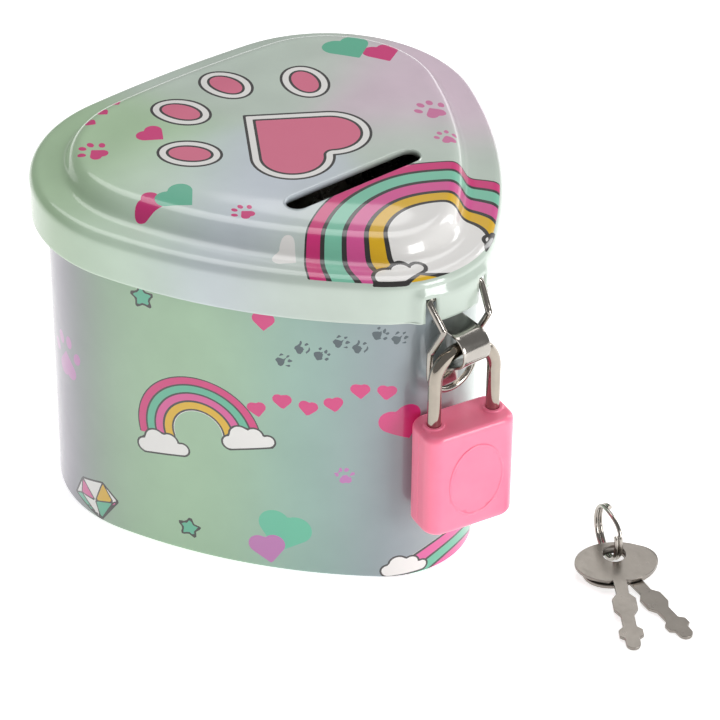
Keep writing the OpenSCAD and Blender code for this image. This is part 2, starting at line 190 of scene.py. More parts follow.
def tube(line, radius, sides=20, closed=False):
    """Rings round a line of points in mm; radius is one number or one for each point."""
    line = np.asarray(line, float)
    radii = np.broadcast_to(np.asarray(radius, float), len(line))
    if closed:
        ahead = np.roll(line, -1, 0) - np.roll(line, 1, 0)
    else:
        ahead = np.gradient(line, axis=0)
    ahead /= np.linalg.norm(ahead, axis=1)[:, None]
    sideways = np.cross(ahead[0], [0.31, 0.17, 0.93])
    rings = []
    for p, t, r in zip(line, ahead, radii):
        sideways = sideways - t * (sideways @ t)
        sideways /= np.linalg.norm(sideways)
        other = np.cross(t, sideways)
        turn = np.arange(sides) * 2 * math.pi / sides
        rings.append(p + r * (np.outer(np.cos(turn), sideways) + np.outer(np.sin(turn), other)))
    if closed:
        rings.append(rings[0])
    return np.array(rings)


def through(points, steps, closed=False):
    """A smooth line through a few points (a Catmull-Rom spline), in equal small steps."""
    p = np.asarray(points, float)
    n = len(p)
    spans = n if closed else n - 1
    if closed:
        p = np.concatenate([p[-1:], p, p[:2]])
    else:
        p = np.concatenate([2 * p[:1] - p[1:2], p, 2 * p[-1:] - p[-2:-1]])
    t = np.linspace(0, 1, 24, endpoint=False)[:, None]
    line = [0.5 * (2 * b + (c - a) * t + (2 * a - 5 * b + 4 * c - d) * t**2 + (3 * b - a - 3 * c + d) * t**3)
            for a, b, c, d in (p[i:i + 4] for i in range(spans))]
    line = np.concatenate(line + [p[1:2] if closed else p[-2:-1]])
    far = np.concatenate([[0], np.cumsum(np.linalg.norm(np.diff(line, axis=0), axis=1))])
    at = np.linspace(0, far[-1], steps, endpoint=not closed)
    return np.stack([np.interp(at, far, line[:, k]) for k in range(line.shape[1])], 1)


# %% [markdown]
# ## Helpers that make a material
# One function adds a node, sets it and links it. Another turns a colour as a painter writes
# it, in sRGB hex, into the linear numbers that the shader adds and mixes.

# %% Node and colour helpers


def add(tree, kind, inputs=None, **settings):
    """Adds a node with its settings; an input is a value, a socket, or a node's first output."""
    node = tree.nodes.new(kind)
    for key, value in settings.items():
        setattr(node, key, value)
    for key, value in (inputs or {}).items():
        if isinstance(value, bpy.types.Node):
            value = value.outputs[0]
        if isinstance(value, bpy.types.NodeSocket):
            tree.links.new(value, node.inputs[key])
        else:
            node.inputs[key].default_value = value
    return node


def linear(code):
    """Linear red, green, blue and a full alpha from an sRGB code such as #ff8800."""
    parts = [int(code[i:i + 2], 16) / 255 for i in (1, 3, 5)]
    return tuple(c / 12.92 if c <= 0.04045 else ((c + 0.055) / 1.055) ** 2.4 for c in parts) + (1.0,)


def new_material(name, settings):
    """A material with its shader's own values set; gives the material, its tree and shader."""
    material = bpy.data.materials.new(name)
    material.use_nodes = True
    shader = material.node_tree.nodes["Principled BSDF"]
    for key, value in settings.items():
        shader.inputs[key].default_value = value
    return material, material.node_tree, shader


def pattern(tree, kind, size_mm, stretch=(1, 1, 1), **inputs):
    """A texture on Object coordinates whose features are about size_mm across."""
    where = add(tree, "ShaderNodeTexCoord").outputs["Object"]
    scaled = add(tree, "ShaderNodeMapping", {"Vector": where, "Scale": stretch})
    return add(tree, kind, {"Vector": scaled, "Scale": 1 / (size_mm * MM), **inputs})


def spread(tree, source, low, high):
    """Moves a 0 to 1 pattern into the range low to high."""
    return add(tree, "ShaderNodeMapRange", {"Value": source, "To Min": low, "To Max": high})


# %% [markdown]
# ## Metals and plastics
# The metal parts are cheap, bright stamped steel with nickel on it. What tells one from
# another is how it was made: rolled strip shows faint lines, drawn wire is mirror smooth with
# a few dull patches, and a stamped key is grey with fine tumbling scratches.

# %% A plated metal, by its marks


def plated(name, colour, rough, mark_mm, stretch, depth_mm):
    """Nickel or chrome plate: a mirror whose sharpness is broken by lines, marks and haze."""
    material, tree, shader = new_material(name, {"Metallic": 1.0})
    marks = pattern(tree, "ShaderNodeTexNoise", mark_mm, stretch, Detail=4.0, Roughness=0.6)
    haze = pattern(tree, "ShaderNodeTexNoise", 3.0, Detail=2.0)
    both = add(tree, "ShaderNodeMath", {0: marks.outputs[0], 1: haze.outputs[0]}, operation="MULTIPLY")
    tree.links.new(spread(tree, both.outputs[0], rough * 0.6, rough * 2.2).outputs[0], shader.inputs["Roughness"])
    deep, pale = [tuple(min(1, c * k) for c in linear(colour)[:3]) + (1.0,) for k in (0.82, 1.1)]
    tint = add(tree, "ShaderNodeMix", {0: haze.outputs[0], 6: deep, 7: pale}, data_type="RGBA")
    tree.links.new(tint.outputs[2], shader.inputs["Base Color"])
    bump = add(tree, "ShaderNodeBump", {"Height": marks, "Distance": depth_mm * MM, "Strength": 0.5})
    tree.links.new(bump.outputs[0], shader.inputs["Normal"])
    return material


# Cold-rolled strip with nickel: bright, with faint lines along it.
nickel_strip = plated("nickel_plated_steel_strip", "#bdb8b1", 0.16, 0.5, (0.12, 1, 1), 0.01)
# Drawn wire with nickel: smooth, and a little darker where it reflects the room.
steel_wire = plated("nickel_plated_drawn_wire", "#b3ada5", 0.14, 0.7, (1, 1, 0.25), 0.008)
# Chromed steel rod: the sharpest mirror on the object.
chrome_rod = plated("chrome_plated_steel_rod", "#b0a79b", 0.09, 0.9, (1, 1, 0.4), 0.006)
# Stamped and tumbled key blank: grey and satin, with short fine scratches.
key_steel = plated("tumbled_nickel_key_steel", "#969089", 0.34, 0.35, (1, 0.3, 1), 0.014)
# Turned brass: warm, with rings from the lathe.
turned_brass = plated("turned_brass", "#d9b765", 0.25, 0.3, (0.3, 0.3, 1), 0.01)
# Bare tinplate inside: pale grey, milky, with a large soft grain.
bare_tin = plated("bare_tinplate", "#cfcdc8", 0.3, 1.2, (1, 0.25, 1), 0.012)
print("metals:", [m.name for m in bpy.data.materials])

# %% Glossy pink ABS of the padlock


def pink_abs():
    """Moulded ABS: glossy and waxy, with a faint painted glow that lights it up a little, and a faint mould peel."""
    material, tree, shader = new_material("glossy_pink_abs", {
        "Roughness": 0.3, "IOR": 1.53, "Subsurface Weight": 0.12, "Subsurface Scale": 0.0015,
        "Coat Weight": 0.25, "Coat Roughness": 0.12,
        # A painted glow: the emission makes the case light itself a little.
        "Emission Strength": 0.16, "Emission Color": linear("#ff7090")})
    shader.inputs["Subsurface Radius"].default_value = (1.0, 0.45, 0.5)
    cloud = pattern(tree, "ShaderNodeTexNoise", 6.0, Detail=2.0)
    tint = add(tree, "ShaderNodeMix", {0: cloud.outputs[0], 6: linear("#f9799a"), 7: linear("#ff8ba8")},
               data_type="RGBA")
    tree.links.new(tint.outputs[2], shader.inputs["Base Color"])
    peel = pattern(tree, "ShaderNodeTexNoise", 0.7, Detail=1.0)
    bump = add(tree, "ShaderNodeBump", {"Height": peel, "Distance": 0.012 * MM, "Strength": 0.4})
    tree.links.new(bump.outputs[0], shader.inputs["Normal"])
    return material


pink_plastic = pink_abs()

# %% [markdown]
# ## The print
# The tin is printed flat and then formed, so the picture runs over the bends of the lid. Each
# motif is drawn here as a distance in millimetres: below zero inside it, above zero outside.
# The distances are stored on the mesh, and the material turns each into a flat printed
# colour, with an ink line where the distance is close to zero.

# %% Distances to simple marks, in millimetres


def disc(x, y, cx, cy, r):
    return np.hypot(x - cx, y - cy) - r


def turned(x, y, cx, cy, tilt):
    """x and y about a centre, in the axes of a mark that is tilted by so many degrees."""
    c, s = math.cos(math.radians(tilt)), math.sin(math.radians(tilt))
    return (x - cx) * c + (y - cy) * s, -(x - cx) * s + (y - cy) * c


def oval(x, y, cx, cy, a, b, tilt=0):
    u, v = turned(x, y, cx, cy, tilt)
    k = np.hypot(u / a, v / b)
    return k * (k - 1) / np.maximum(np.hypot(u / a**2, v / b**2), 1e-6)


def patch(x, y, corners, rounding=0.0):
    """Inside a shape with straight edges, its corners rounded outwards."""
    best = np.full(np.shape(x), 1e9)
    inside = np.zeros(np.shape(x), bool)
    for (ax, ay), (bx, by) in zip(corners, corners[1:] + corners[:1]):
        ex, ey = bx - ax, by - ay
        t = np.clip(((x - ax) * ex + (y - ay) * ey) / (ex * ex + ey * ey), 0, 1)
        best = np.minimum(best, np.hypot(x - ax - t * ex, y - ay - t * ey))
        crosses = (ay > y) != (by > y)
        inside ^= crosses & (x < ax + ex * (y - ay) / (ey if ey else 1e-9))
    return np.where(inside, -best, best) - rounding


def together(*marks):
    return np.minimum.reduce(marks)


# %% Distances to hearts, paws, stars and clouds


def heart(x, y, cx, cy, size, tilt=0):
    """A heart about its middle, size wide."""
    u, v = turned(x, y, cx, cy, tilt)
    scale = size / 1.2
    u, v = np.abs(u) / scale, v / scale + 0.55
    upper = np.hypot(u - 0.25, v - 0.75) - math.sqrt(2) / 4
    low = np.maximum(u + v, 0) / 2
    lower = np.minimum(np.hypot(u, v - 1), np.hypot(u - low, v - low)) * np.sign(u - v)
    return np.where(u + v > 1, upper, lower) * scale


def paw(x, y, cx, cy, size, tilt=0):
    """A paw print: a pad and four toes, size wide."""
    u, v = turned(x, y, cx, cy, tilt)
    u, v = u / size, v / size
    toes = [oval(u, v, tx, ty, 0.11, 0.15, lean) for tx, ty, lean in
            ((-0.42, 0.08, 30), (-0.16, 0.36, 10), (0.17, 0.36, -10), (0.43, 0.08, -30))]
    return together(heart(u, -v, 0, 0.2, 0.66), *toes) * size


def star(x, y, cx, cy, r, tilt=0):
    tips = [(r * k * math.cos(a), r * k * math.sin(a)) for i in range(10)
            for a, k in ((math.pi / 2 + i * math.pi / 5, 1 if i % 2 == 0 else 0.5),)]
    u, v = turned(x, y, cx, cy, tilt)
    return patch(u, v, tips, 0.25)


def cloud(x, y, cx, cy, width, tilt=0):
    """A row of round puffs with a flat foot."""
    u, v = turned(x, y, cx, cy, tilt)
    u, v = u / width, v / width
    puffs = [disc(u, v, px, py, r) for px, py, r in
             ((-0.34, -0.06, 0.15), (-0.12, 0.08, 0.2), (0.14, 0.05, 0.17), (0.36, -0.08, 0.13))]
    foot = np.maximum(np.abs(u) - 0.4, np.abs(v + 0.12) - 0.09)
    return together(*puffs, foot) * width


def arch(x, y, cx, cy, squash=1.0, tilt=0):
    """Distance from the centre of a rainbow, flattened if squash is over 1."""
    u, v = turned(x, y, cx, cy, tilt)
    return np.hypot(u / squash, v)


print("a heart 10 mm wide is", round(float(-heart(np.array([0.0]), np.array([0.0]), 0, 0, 10)[0]), 2), "mm deep")

# %% Soft washes of colour between a few spots


def wash(x, y, spots, blur):
    """A colour for each place, from spots of (x, y, colour) that run into each other."""
    total, weights = np.zeros((len(x), 3)), np.zeros(len(x))
    for sx, sy, code in spots:
        w = np.exp(-((x - sx) ** 2 + (y - sy) ** 2) / (2 * blur * blur)) + 1e-9
        total += w[:, None] * np.array(linear(code)[:3])
        weights += w
    return total / weights[:, None]


def store(mesh, marks, ground):
    """Puts the distances and the ground colour on the mesh's points."""
    for key, values in marks.items():
        mesh.attributes.new(key, "FLOAT", "POINT").data.foreach_set("value", values.astype(np.float32))
    colour = np.concatenate([np.clip(ground, 0, 1), np.ones((len(ground), 1))], 1).astype(np.float32)
    mesh.attributes.new("ground", "FLOAT_COLOR", "POINT").data.foreach_set("color", colour.ravel())


def places(mesh):
    """x, y and z of the mesh's points, in mm."""
    co = np.zeros(len(mesh.vertices) * 3, np.float32)
    mesh.vertices.foreach_get("co", co)
    return (co.reshape(-1, 3).astype(float) / MM).T


# %% [markdown]
# ## Printed tinplate
# Lithographed tinplate is flat ink under a clear varnish on a thin white coat. It gives a
# smooth gloss with clear reflections, soft watercolour blends in the ground, and crisp
# spot colours with a dark key line. The sheet is never quite flat, so reflections wander.

# %% Inks
INK = "#2f2d2c"
MAGENTA, ROSE, MINT, GOLD, ORCHID = "#d92a7b", "#df559b", "#5fbb9a", "#e6b608", "#c276b6"
WHITE, PINK = "#f1efec", "#e0708f"
# Watercolour washes of the ground. The darkest is lilac with painted shade in it, for the wall's left rear corner.
STONE, LILAC, SHADED_LILAC, LEAF, SEA, SLATE = "#a6b4ae", "#b2a6b8", "#84798f", "#a4c6a4", "#92b6aa", "#9098a2"


def inked(tree, under, mark, code, line=0.0):
    """One printed colour over what is under it, with a key line if it has one."""
    distance = add(tree, "ShaderNodeAttribute", attribute_name=mark).outputs["Fac"]
    inside = add(tree, "ShaderNodeMath", {0: distance, 1: 0.0}, operation="LESS_THAN")
    over = add(tree, "ShaderNodeMix", {0: inside, 6: under, 7: linear(code)}, data_type="RGBA").outputs[2]
    if line:
        near = add(tree, "ShaderNodeMath", {0: distance}, operation="ABSOLUTE")
        near = add(tree, "ShaderNodeMath", {0: near, 1: line / 2}, operation="LESS_THAN")
        over = add(tree, "ShaderNodeMix", {0: near, 6: over, 7: linear(INK)}, data_type="RGBA").outputs[2]
    return over


def banded(tree, under, mark, stops, masked_by):
    """The bands of a rainbow: stops of (distance, colour) from the inside out, with key lines."""
    distance = add(tree, "ShaderNodeAttribute", attribute_name=mark).outputs["Fac"]
    far = stops[-1][0] + 1
    share = add(tree, "ShaderNodeMath", {0: distance, 1: far}, operation="DIVIDE")
    ramp = add(tree, "ShaderNodeValToRGB", {0: share})
    ramp.color_ramp.interpolation = "CONSTANT"
    ramp.color_ramp.elements[0].color = linear(stops[0][1])
    ramp.color_ramp.elements[1].position = 1.0
    for edge, code in stops[1:]:
        ramp.color_ramp.elements.new(edge / far).color = linear(code)
    inside = add(tree, "ShaderNodeAttribute", attribute_name=masked_by).outputs["Fac"]
    inside = add(tree, "ShaderNodeMath", {0: inside, 1: 0.0}, operation="LESS_THAN")
    return add(tree, "ShaderNodeMix", {0: inside, 6: under, 7: ramp.outputs[0]}, data_type="RGBA").outputs[2]


def with_key_lines(edges, codes, line):
    """Stops for banded: each colour between two edges, with an ink line on every edge."""
    stops = [(0.0, WHITE)]
    for edge, code in zip(edges, codes):
        stops += [(edge - line / 2, INK), (edge + line / 2, code)]
    return stops


# %% Varnished print


def printed_tin(name, layers):
    """Tinplate with its ground wash under printed layers, which are the arguments of inked or banded."""
    material, tree, shader = new_material(name, {
        "Roughness": 0.34, "IOR": 1.5, "Coat Weight": 1.0, "Coat Roughness": 0.07, "Coat IOR": 1.5})
    ground = add(tree, "ShaderNodeAttribute", attribute_name="ground").outputs["Color"]
    blot = pattern(tree, "ShaderNodeTexNoise", 14.0, Detail=3.0, Roughness=0.55)
    shift = spread(tree, blot.outputs[0], 0.9, 1.12)
    colour = add(tree, "ShaderNodeVectorMath", {0: ground, 1: shift}, operation="MULTIPLY")
    colour = colour.outputs[0]
    for layer in layers:
        lay = banded if isinstance(layer[1], list) else inked
        colour = lay(tree, colour, *layer)
    tree.links.new(colour, shader.inputs["Base Color"])
    wave = pattern(tree, "ShaderNodeTexNoise", 22.0, Detail=1.0)
    fine = pattern(tree, "ShaderNodeTexNoise", 0.6, Detail=1.0)
    slow = add(tree, "ShaderNodeBump", {"Height": wave, "Distance": 0.3 * MM, "Strength": 0.5})
    bump = add(tree, "ShaderNodeBump", {"Height": fine, "Distance": 0.006 * MM, "Strength": 0.4, "Normal": slow})
    for socket in ("Normal", "Coat Normal"):
        tree.links.new(bump.outputs[0], shader.inputs[socket])
    haze = pattern(tree, "ShaderNodeTexNoise", 5.0, Detail=3.0)
    tree.links.new(spread(tree, haze.outputs[0], 0.28, 0.42).outputs[0], shader.inputs["Roughness"])
    return material


# %% [markdown]
# ## The body
# One strip of printed tin is bent round into the wall and lock-seamed at the back. Its top
# edge is curled outwards into a bead that stiffens it, its bottom edge is rolled under with
# the base panel. It is drawn as one sheet, up the outside, over the bead and down the inside.

# %% Rings of the wall
wall_h = 77.4
tin_t = 0.5
bead_r = 0.8
around = 500


def ring(off, z):
    """A closed ring of places round the tin, at distances off outside the wall and heights z."""
    along = (np.arange(around) / around * 2 - 1) * half_round
    x, y = walk(along, off)
    return np.stack([x, y, np.full_like(x, z)], 1)


def wall_profile():
    """Pairs of off and z: foot, outside, curled bead, and down the inside."""
    foot = [(-0.25 + 0.25 * math.cos(a), 0.3 - 0.3 * math.sin(a)) for a in np.linspace(math.pi / 2, 0, 4)]
    bead_z = wall_h - bead_r
    outside = [(0, z) for z in np.linspace(0.3, bead_z - 1.1, 112)[1:]]
    neck = [(0.1, bead_z - 0.95), (0.35, bead_z - 0.85)]
    bead = [(0.55 + bead_r * math.cos(a), bead_z + bead_r * math.sin(a))
            for a in np.linspace(-math.pi / 2, math.pi * 0.8, 11)]
    inside = [(-tin_t, z) for z in (bead_z, 72, 60, 45, 30, 15, 4, 0.3)]
    return foot + outside + neck + bead + inside + [(-0.25, 0.0)]


profile = wall_profile()
wall_bm = rolled(np.array([ring(off, z) for off, z in profile]))
bmesh.ops.remove_doubles(wall_bm, verts=[v for v in wall_bm.verts if v.is_boundary], dist=1e-7)

# %% Where the motifs stand on the wall, in mm round from the front and up from the table


def wall_marks(x, y, z):
    s, _ = locate(x, y)
    bow = np.where(s < 0, arch(s, z, -54.5, 33.2, 1, 8), arch(s, z, 58, 30, 1, -8))
    bow_cut = np.where(s < 0, turned(s, z, -54.5, 31.5, 8)[1], turned(s, z, 58, 29, -8)[1])
    lower_bow = arch(s, z, 6.5, -9.5, 1.25)
    return {
        "magenta": together(heart(s, z, -39.4, 65.6, 5.0), heart(s, z, -106, 55, 12, 20),
                            heart(s, z, 33, 55, 7, -15), heart(s, z, 84, 62, 6, 10), heart(s, z, 118, 22, 9, 15),
                            heart(s, z, -132, 30, 9, -10), heart(s, z, -9.5, 41.5, 9.5, 22)),
        "mint": together(star(s, z, -67.1, 65.2, 2.6, 8), star(s, z, -57.2, 6.5, 2.4, -6),
                         star(s, z, 71, 58, 2.7, 12), star(s, z, 36, 8, 2.5, 5), star(s, z, -122, 62, 2.7),
                         star(s, z, 104, 60, 2.6, 20), star(s, z, 140, 40, 2.8)),
        "mint_hearts": together(heart(s, z, -35.4, 10.0, 12.0, -14), heart(s, z, 45, 62, 9, 12),
                                heart(s, z, -146, 60, 9, 8), heart(s, z, 96, 12, 11, -12)),
        "orchid": together(paw(s, z, -91.0, 39.5, 11.0, 6), paw(s, z, -21.8, 27.6, 4.2, 8),
                           heart(s, z, -38.8, 5.0, 8.4, 12), paw(s, z, 24, 33, 5, -10), paw(s, z, 90, 38, 10, -8),
                           heart(s, z, 101, 7.5, 7.5, 10), paw(s, z, -142, 12, 8, 10), paw(s, z, 128, 64, 6)),
        "trail": together(*[heart(s, z, -41 + 5.6 * i, 42.5 + 1.5 * i + 1.6 * math.sin(1.9 * i), 4.3, 12 - 9 * (i % 3))
                            for i in range(6)]),
        "prints": together(*[paw(s, z, -35 + 4.1 * i, 56.5 + 1.25 * i + (2.4 if i % 2 else 0), 3.5, -62)
                           for i in range(7)]),
        "bow": bow, "bow_mask": np.maximum(np.maximum(bow - 14.6, 5.7 - bow), -bow_cut),
        "clouds": together(cloud(s, z, -63.2, 27.8, 13, 10), cloud(s, z, -43.2, 34.3, 12.5, 14),
                           cloud(s, z, 66.5, 25, 13, -8), cloud(s, z, 48.5, 27.5, 12.5, -12),
                           cloud(s, z, -8.5, 2.6, 11, 4), cloud(s, z, 19.5, 2.6, 11, -4)),
        "foot_bow": lower_bow,
        "foot_mask": np.maximum(np.maximum(lower_bow - 18.2, 6.0 - lower_bow), np.abs(s - 6) - 14),
        "gem": together(patch(s, z, [(-89.3, 3), (-86.3, 8.8), (-79.5, 10.9), (-75.2, 7.4), (-80.3, 0.2)]),
                        patch(s, z, [(76, 12), (79, 17.5), (85.5, 19.5), (90, 16), (85, 9)])),
        "gem_gold": patch(s, z, [(-82, 4.6), (-79.5, 10.9), (-76.6, 6.6)]),
        "gem_pink": together(patch(s, z, [(-86.9, 4.2), (-86.3, 8.8), (-82, 4.6)]),
                             patch(s, z, [(-80.3, 0.2), (-76.6, 6.6), (-75.2, 7.4)])),
        "gem_mint": together(patch(s, z, [(-89.3, 3), (-86.9, 4.2), (-80.3, 0.2)]),
                             patch(s, z, [(-82, 4.6), (-76.6, 6.6), (-80.3, 0.2)])),
    }


# One wash after another round the wall, evenly spaced, from the middle of the back to the left. The third and fourth,
# on the left rear corner, are lilac darkened with painted shade.
WALL_WASHES = [STONE, LILAC, SHADED_LILAC, SHADED_LILAC, LEAF, LEAF, SEA, SLATE, STONE, SEA, LEAF, LILAC, LILAC, LILAC, STONE]
wash_step = 2 * half_round / len(WALL_WASHES)
WALL_SPOTS = [(i * wash_step - half_round, wall_h / 2, code) for i, code in enumerate(WALL_WASHES)]


# %% The wall's ink, layer by layer
def wall_layers():
    bands = with_key_lines([6.0, 8.2, 10.3, 12.4, 14.5], [GOLD, ROSE, MINT, MAGENTA, WHITE], 0.45)
    foot_bands = with_key_lines([6.4, 9.2, 12, 14.8, 17.8], [GOLD, ROSE, MINT, ROSE, WHITE], 0.6)
    return [
        ("magenta", MAGENTA), ("mint_hearts", "#62c2a0"),
        ("orchid", ORCHID), ("mint", MINT, 0.45),
        ("trail", MAGENTA), ("prints", "#43545a"),
        ("bow", bands, "bow_mask"),
        ("foot_bow", foot_bands, "foot_mask"),
        ("clouds", WHITE, 0.45), ("gem", WHITE, 0.5),
        ("gem_pink", ROSE, 0.35), ("gem_mint", MINT, 0.35),
        ("gem_gold", GOLD, 0.35)]


tin_wall = piece("tin_wall", wall_bm, "tin_body", printed_tin("lithographed_tinplate_wall", wall_layers()),
                 ["body_wall"], sharp=60)
x, y, z = places(tin_wall.data)
s, _ = locate(x, y)
store(tin_wall.data, wall_marks(x, y, z), wash(s, z, WALL_SPOTS, 10.0))

# %% The inside of the wall stays bare
tin_wall.data.materials.append(bare_tin)
centres = np.zeros(len(tin_wall.data.polygons) * 3, np.float32)
tin_wall.data.polygons.foreach_get("center", centres)
cx, cy, cz = centres.reshape(-1, 3).T.astype(float) / MM
_, standing = locate(cx, cy)
within = (standing < -tin_t / 2) & (cz > 0.2)
tin_wall.data.polygons.foreach_set("material_index", within.astype(np.int32))
print("bare faces inside:", int(within.sum()))

# %% [markdown]
# ## The lid
# The lid is one deep-drawn sheet: a skirt that goes over the wall, a round shoulder, a flat
# ledge and a raised panel with a slot in it. At the front the skirt is pressed out into a
# bridge, with a slit at each side for the wire. The rings go up the skirt, inwards over the
# panel, and end in the lip of the slot. The printed sheet gets its cut edges from Solidify,
# and the bare inside is a second sheet half a millimetre in, with a thinner mesh.

# %% Heights and distances of the lid's bends
skirt_out, skirt_z, shoulder_r = 3.5, 69.8, 2.4
ledge_z, panel_z, crown = 80.2, 84.85, 0.55
panel_edge = -9.0
riser = [(1.1, ledge_z), (-2.4, ledge_z + 0.05), (-3.5, ledge_z + 0.25), (-4.4, 81.1), (-5.1, 82.3),
         (-5.8, 83.5), (-6.7, 84.35), (-7.7, 84.75), (panel_edge, panel_z)]
slot_y, slot_half, slot_r = -17.1, 15.0, 2.5
slit_x, slit_w, slit_top = 6.9, 2.4, 76.4
bridge_out = 1.2


def smooth(t):
    c = np.clip(t, 0, 1)
    return c * c * (3 - 2 * c)


def lid_profile():
    """Pairs of off and z from the hem of the skirt up to the panel."""
    hem = [(3.15, skirt_z + 0.12), (3.32, skirt_z), (skirt_out, skirt_z + 0.2)]
    skirt = [(skirt_out, z) for z in np.linspace(skirt_z + 0.7, ledge_z - shoulder_r, 9)]
    shoulder = [(skirt_out - shoulder_r + shoulder_r * math.cos(a), ledge_z - shoulder_r + shoulder_r * math.sin(a))
                for a in np.linspace(0, math.pi / 2, 9)[1:-1]]
    return hem + skirt + shoulder + [tuple(p) for p in through(riser, 20)]


# %% Rings of the lid
slit_edges = [math.asin((slit_x + k * slit_w / 2) / (tip_r + skirt_out + bridge_out)) * tip_r for k in (-1, 1)]


def columns_of(count):
    """Places round the lid, with one exactly on each edge of the slits."""
    along = (np.arange(count) / count * 2 - 1) * half_round
    for edge in slit_edges:
        for side in (-1, 1):
            along[np.abs(along - side * edge).argmin()] = side * edge
    return along


def skirt_ring(along, off, z):
    """A ring of the lid, with the bridge pressed out at the front."""
    x, y = walk(along, off)
    pressed = bridge_out * smooth((11 - np.abs(x)) / 3) * smooth((78 - z) / 1.8) * (y < tip_c[1])
    away = np.hypot(x - tip_c[0], y - tip_c[1])
    x, y = x + pressed * (x - tip_c[0]) / away, y + pressed * (y - tip_c[1]) / away
    return np.stack([x, y, np.full_like(x, z)], 1)


def slot_ring(along, r, z):
    """A ring of the slot's lip, r from the slot's middle line, one place for each column."""
    share = np.abs(along) / half_round
    share = share * 2.85 / (1 + 1.85 * share)
    at = share * (2 * slot_half + math.pi * r)
    bend = np.clip((at - slot_half) / r, 0, math.pi)
    x = np.where(at < slot_half, at, slot_half + r * np.sin(bend)) - np.maximum(at - slot_half - math.pi * r, 0)
    y = slot_y - r * np.cos(bend)
    return np.stack([x * np.sign(along + 1e-9), y, np.full_like(x, z)], 1)


def panel_rings(edge, lip, rows):
    """Rings that pass from the panel's edge to the slot, on a gentle dome."""
    rings = []
    for t in np.linspace(0, 1, rows)[1:]:
        between = edge * (1 - t) + lip * t
        _, off = locate(between[:, 0], between[:, 1])
        between[:, 2] = panel_z + crown * smooth((panel_edge - off) / 12)
        rings.append(between)
    return rings


# %% The lid's sheet, with its slits
def in_slit(face):
    middle = face.calc_center_median() / MM
    if middle.z > slit_top or middle.y > -40:
        return False
    at, off = locate(np.array([middle.x]), np.array([middle.y]))
    return off[0] > 3 and slit_edges[0] < abs(at[0]) < slit_edges[1]


def lid_sheet(count, rows):
    along = columns_of(count)
    rings = [skirt_ring(along, off, z) for off, z in lid_profile()]
    rings += panel_rings(rings[-1], slot_ring(along, slot_r + 0.55, panel_z), rows)
    top = panel_z + crown
    rings += [slot_ring(along, slot_r + r, top - down) for r, down in ((0.3, 0.03), (0.1, 0.18), (0, 0.45), (0, 1.3))]
    bm = rolled(np.array(rings))
    slit_faces = [f for f in bm.faces if in_slit(f)]
    bmesh.ops.delete(bm, geom=slit_faces, context="FACES")
    print("lid sheet of", len(bm.faces), "faces, slits cut through", len(slit_faces))
    return bm


# %% [markdown]
# ## The picture on the lid
# One large paw print stands over a rainbow with a cloud at each foot, and small hearts and
# paws are scattered round them. All of them are stock motifs made by the helpers above.

# %% The large paw print and the rainbow
def picture_marks(x, y):
    big_paw = paw(x, y, -2.0, 13.0, 46.0, 13)
    bow = arch(x, y, 2.5, -42.2, 1.25)
    below = np.maximum(y - slot_y, -y - 60)
    return {"big_paw": big_paw, "big_pads": big_paw + 2.0, "bow": bow, "bow_mask": np.maximum(bow - 24.0, below),
            "lid_cloud": together(cloud(x, y, -11.2, -45.4, 14, 6), cloud(x, y, 14.5, -47.5, 9, 20))}


def scattered_marks(x, y):
    hearts = [heart(x, y, -38.8, 2.6, 6.4, 24), heart(x, y, 38.4, 20.8, 8.4, -14), heart(x, y, -23.4, 23.4, 6.6, 14)]
    trail = [heart(x, y, -30.5 + 4.6 * i, 36.4 + 1.9 * i, 2.7, 16 - 10 * (i % 3)) for i in range(5)]
    return {"magenta": together(*hearts, *trail, paw(x, y, -37, 26.4, 6.6, 4), paw(x, y, -26, -12.6, 5.0, 6)),
            "mint": together(heart(x, y, -33.4, 0.2, 9.0, 8), heart(x, y, 33.6, 27.0, 11.0, -10)),
            "orchid": together(paw(x, y, 31.6, -4.6, 7.0, -6), paw(x, y, 27.0, -15.4, 5.0, -14)),
            "white": heart(x, y, -25.2, -26.6, 5.6, 12)}


# %% The lid's ground and its ink, layer by layer
PALE_MINT, PALE_LEAF, PALE_BLUE, PALE_GREY, PALE_ROSE = "#cce4cc", "#b0cfa8", "#cdd4e0", "#c4d2c6", "#dcc6d4"
LID_SPOTS = [(-48, 26, PALE_LEAF), (-32, 44, PALE_LEAF), (-42, 2, PALE_MINT), (-30, -12, PALE_BLUE), (-26, -34, PALE_GREY),
             (0, 50, PALE_GREY), (32, 40, PALE_GREY), (50, 18, PALE_ROSE), (46, -6, PALE_ROSE), (34, -26, PALE_GREY),
             (0, -50, PALE_GREY)]
key_line = 0.62
wide_line = 0.85


def lid_layers():
    bands = with_key_lines([9.4, 12.8, 16.8, 20.7, 24.0], [GOLD, ROSE, "#7fcbae", MAGENTA, WHITE], wide_line)
    return [
        ("magenta", MAGENTA), ("mint", MINT),
        ("orchid", "#d678a6"), ("white", WHITE),
        ("bow", bands, "bow_mask"),
        ("lid_cloud", WHITE, wide_line),
        ("big_paw", WHITE, key_line), ("big_pads", PINK, key_line)]


# %% The printed face of the lid, with its cut edges
tin_lid = piece("tin_lid", lid_sheet(620, 110), "lid", printed_tin("lithographed_tinplate_lid", lid_layers()),
                ["lid_shell"], sharp=70)
x, y, z = places(tin_lid.data)
_, off = locate(x, y)
marks = {**scattered_marks(x, y), **picture_marks(x, y)}
print_edge = off - 2.7
marks = {key: value if key == "bow" else np.maximum(value, print_edge) for key, value in marks.items()}
store(tin_lid.data, marks, wash(x, y, LID_SPOTS, 10.0))
finish_with(tin_lid, "SOLIDIFY", thickness=tin_t * MM, offset=-1, use_rim_only=True)
print("lid marks:", len(marks))

